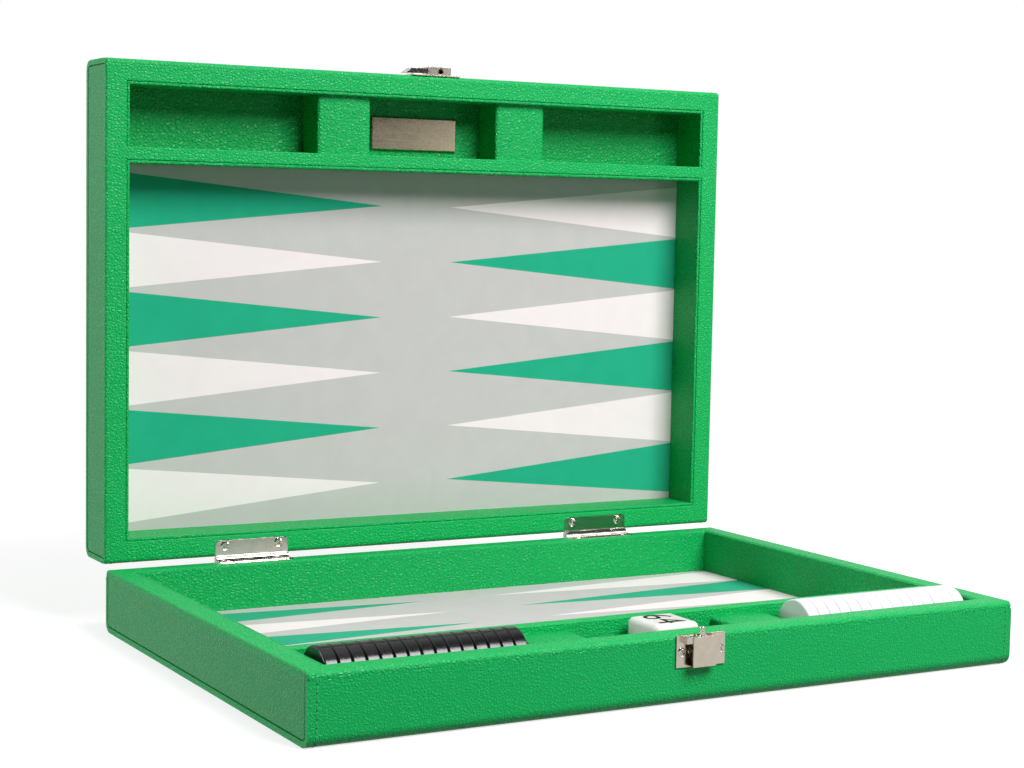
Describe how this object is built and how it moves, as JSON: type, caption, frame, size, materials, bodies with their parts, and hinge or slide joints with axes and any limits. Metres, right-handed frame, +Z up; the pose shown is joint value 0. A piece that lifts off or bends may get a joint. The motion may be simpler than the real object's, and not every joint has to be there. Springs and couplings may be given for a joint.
{
  "type": "folding backgammon set",
  "caption": "Folding backgammon case in grained green hide, open at a right angle, with cloth fields, storage strips, a sliding catch, checkers, dice and a doubling cube.",
  "frame": {"origin": "centre of the lower half's underside", "axes": "+X across the case to the right of a player who faces the catch, +Y from the catch towards the hinges, +Z up"},
  "size_m": [0.4064, 0.3208, 0.3212],
  "materials": {
    "green_hide": "pebble-grained bright green hide, satin",
    "fibreboard": "plain fibreboard, hidden by the hide",
    "grey_cloth": "pale grey-green microfibre",
    "teal_cloth": "teal-green microfibre",
    "white_cloth": "off-white microfibre",
    "nickel": "polished nickel plate",
    "brushed_nickel": "brushed nickel plate, left blank",
    "spring_steel": "drawn spring wire",
    "black_resin": "polished black resin",
    "white_resin": "polished white resin",
    "ivory_resin": "polished ivory-white resin"
  },
  "bodies": {
    "base": {"base_back_wall": "fibreboard", "base_field_cloth": "grey_cloth", "base_field_liner": "green_hide", "base_floor_board": "fibreboard", "base_front_wall": "fibreboard", "base_green_points": "teal_cloth", "base_hinge_screws": "nickel", "base_left_divider": "green_hide", "base_left_end_panel": "green_hide", "base_left_wall": "fibreboard", "base_outer_hide": "green_hide", "base_rail_core": "fibreboard", "base_right_divider": "green_hide", "base_right_end_panel": "green_hide", "base_right_wall": "fibreboard", "base_rim_hide": "green_hide", "base_storage_liner": "green_hide", "base_storage_lining": "green_hide", "base_white_points": "white_cloth", "catch_block": "nickel", "catch_cover": "nickel", "catch_plate": "nickel", "catch_rivet": "nickel", "catch_screws": "nickel", "catch_stud": "nickel", "hinge_pins": "nickel", "left_hinge_base_leaf": "nickel", "right_hinge_base_leaf": "nickel"},
    "lid": {"catch_spring": "spring_steel", "keeper_box": "nickel", "keeper_plate": "nickel", "keeper_screws": "nickel", "left_hinge_lid_leaf": "nickel", "lid_back_wall": "fibreboard", "lid_field_cloth": "grey_cloth", "lid_field_liner": "green_hide", "lid_floor_board": "fibreboard", "lid_front_wall": "fibreboard", "lid_green_points": "teal_cloth", "lid_hinge_screws": "nickel", "lid_left_divider": "green_hide", "lid_left_end_panel": "green_hide", "lid_left_wall": "fibreboard", "lid_outer_hide": "green_hide", "lid_plaque": "brushed_nickel", "lid_rail_core": "fibreboard", "lid_right_divider": "green_hide", "lid_right_end_panel": "green_hide", "lid_right_wall": "fibreboard", "lid_rim_hide": "green_hide", "lid_storage_liner": "green_hide", "lid_storage_lining": "green_hide", "lid_white_points": "white_cloth", "right_hinge_lid_leaf": "nickel"},
    "catch_slider": {"catch_slider": "nickel"},
    "black_checkers": {"black_checkers": "black_resin"},
    "white_checkers": {"white_checkers": "white_resin"},
    "doubling_cube": {"doubling_cube": "ivory_resin"},
    "white_dice": {"white_dice": "white_resin"},
    "black_dice": {"black_dice": "black_resin"}
  },
  "joints": [
    {"name": "lid_hinge", "type": "hinge", "parent": "base", "child": "lid", "pos_m": [0, 0.1412, 0.0351], "axis": [-1, 0, 0], "range_deg": [-90, 90]},
    {"name": "catch_slide", "type": "slide", "parent": "lid", "child": "catch_slider", "axis": [-1, 0, 0], "range_m": [0, 0.0038], "stiffness_N_per_m": 150, "springref_m": -0.004, "deforming": ["catch_spring"]},
    {"name": "black_checkers_lift", "type": "slide", "parent": "base", "child": "black_checkers", "axis": [0, 0, 1], "range_m": [0, 0.06]},
    {"name": "white_checkers_lift", "type": "slide", "parent": "base", "child": "white_checkers", "axis": [0, 0, 1], "range_m": [0, 0.06]},
    {"name": "doubling_cube_lift", "type": "slide", "parent": "base", "child": "doubling_cube", "axis": [0, 0, 1], "range_m": [0, 0.06]},
    {"name": "white_dice_lift", "type": "slide", "parent": "base", "child": "white_dice", "axis": [0, 0, 1], "range_m": [0, 0.06]},
    {"name": "black_dice_lift", "type": "slide", "parent": "base", "child": "black_dice", "axis": [0, 0, 1], "range_m": [0, 0.06]}
  ]
}
